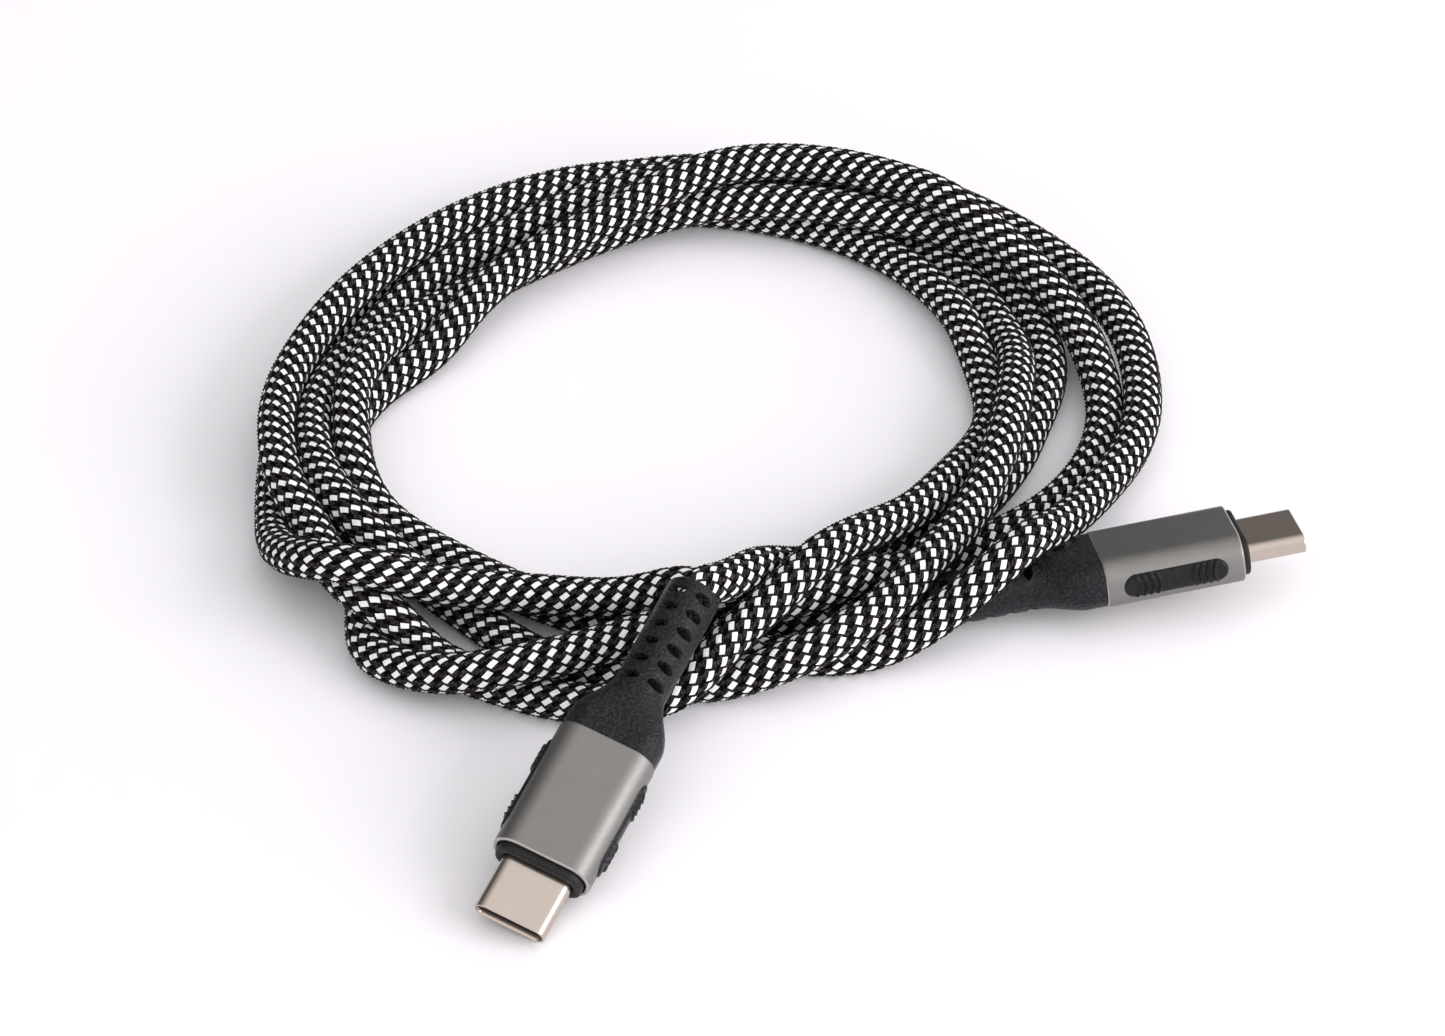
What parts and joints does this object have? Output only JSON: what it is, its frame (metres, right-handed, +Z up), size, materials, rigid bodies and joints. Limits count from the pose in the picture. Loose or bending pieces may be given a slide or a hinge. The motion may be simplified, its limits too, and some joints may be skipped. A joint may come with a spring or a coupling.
{
  "type": "charging cable",
  "caption": "Braided black-and-white charging cable, loosely coiled, with a slim oval Type-C plug in a grey aluminium sleeve and a slotted boot on each end.",
  "frame": {"origin": "on the surface the cable lies on, under the middle of the box round the two plugs", "axes": "+Z up from the surface, +X along the plugs' longest spread, towards the plug that lies flat, +Y from the plugs towards the coil"},
  "size_m": [0.1203, 0.1379, 0.0174],
  "materials": {
    "braid": "woven polyester braid, black with white flecks",
    "boot_rubber": "satin moulded elastomer",
    "sleeve_aluminium": "bead-blasted, anodised grey, bright chamfer",
    "grip_rubber": "fine-grained, ribbed",
    "nose_plastic": "matt moulded",
    "shell_steel": "nickel-plated, warm satin",
    "housing_plastic": "matt moulded",
    "contact_gold": "gold-plated",
    "spring_steel": "stamped, bright",
    "card_green": "solder-masked laminate",
    "chip_black": "moulded package",
    "can_steel": "stamped tinned steel",
    "mould_plastic": "overmoulded",
    "jacket": "extruded",
    "wire_red": "extruded",
    "wire_black": "extruded",
    "wire_blue": "extruded",
    "wire_green": "extruded"
  },
  "bodies": {
    "root": {"cord_turn_1": "braid", "cord_turn_2": "braid", "cord_turn_3": "braid", "cord_turn_4": "braid", "cord_turn_5": "braid", "cord_tail_end": "braid", "boot_a": "boot_rubber", "sleeve_a": "sleeve_aluminium", "grip_left_a": "grip_rubber", "grip_right_a": "grip_rubber", "nose_ring_a": "nose_plastic", "plug_shell_a": "shell_steel", "insulator_a": "housing_plastic", "upper_contacts_a": "contact_gold", "lower_contacts_a": "contact_gold", "latch_plate_a": "spring_steel", "ground_springs_a": "spring_steel", "circuit_card_a": "card_green", "marker_chip_a": "chip_black", "shield_can_a": "can_steel", "inner_mould_a": "mould_plastic", "crimp_ferrule_a": "can_steel", "cable_end_a": "jacket", "power_wire_a": "wire_red", "ground_wire_a": "wire_black", "channel_wire_a": "wire_blue", "data_wires_a": "wire_green", "boot_b": "boot_rubber", "sleeve_b": "sleeve_aluminium", "grip_left_b": "grip_rubber", "grip_right_b": "grip_rubber", "nose_ring_b": "nose_plastic", "plug_shell_b": "shell_steel", "insulator_b": "housing_plastic", "upper_contacts_b": "contact_gold", "lower_contacts_b": "contact_gold", "latch_plate_b": "spring_steel", "ground_springs_b": "spring_steel", "circuit_card_b": "card_green", "shield_can_b": "can_steel", "inner_mould_b": "mould_plastic", "crimp_ferrule_b": "can_steel", "cable_end_b": "jacket", "power_wire_b": "wire_red", "ground_wire_b": "wire_black", "channel_wire_b": "wire_blue", "data_wires_b": "wire_green"}
  },
  "joints": []
}
